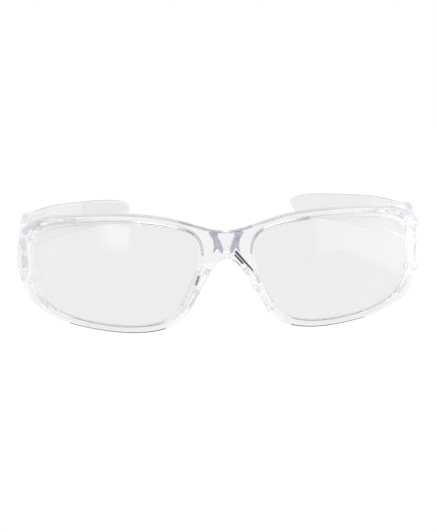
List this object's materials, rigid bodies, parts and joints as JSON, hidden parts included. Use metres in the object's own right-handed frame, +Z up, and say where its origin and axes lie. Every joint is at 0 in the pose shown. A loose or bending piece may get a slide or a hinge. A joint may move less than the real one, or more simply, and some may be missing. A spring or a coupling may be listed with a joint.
{
  "type": "safety glasses",
  "caption": "Clear over-glasses safety spectacles: wrapped front with lenses in a rim, nose pads, and broad curved side arms that fold inwards on upright hinges.",
  "frame": {"origin": "on the table the spectacles stand on, in the middle of their footprint", "axes": "+X to the wearer's left, +Y from the front back to the ears, +Z up"},
  "size_m": [0.1568, 0.1472, 0.0455],
  "materials": {
    "clear_frame": "clear moulded polycarbonate, polished",
    "clear_lens": "clear polycarbonate lens, polished and hard coated",
    "clear_temple": "clear moulded polycarbonate, polished",
    "clear_pin": "clear nylon pin",
    "soft_clear": "soft clear vinyl, slightly satin"
  },
  "bodies": {
    "front": {"front_frame": "clear_frame", "lens_left": "clear_lens", "lens_right": "clear_lens", "lower_pin_left": "clear_pin", "lower_pin_right": "clear_pin", "nose_pad_left": "soft_clear", "nose_pad_right": "soft_clear", "upper_pin_left": "clear_pin", "upper_pin_right": "clear_pin"},
    "left_arm": {"temple_left": "clear_temple"},
    "right_arm": {"temple_right": "clear_temple"}
  },
  "joints": [
    {"name": "left_fold", "type": "hinge", "parent": "front", "child": "left_arm", "pos_m": [0.0752, -0.0273, 0.02027], "axis": [0, 0.1259, 0.992], "range_deg": [0, 88]},
    {"name": "right_fold", "type": "hinge", "parent": "front", "child": "right_arm", "pos_m": [-0.0752, -0.0273, 0.02027], "axis": [0, -0.1259, -0.992], "range_deg": [0, 66]}
  ]
}
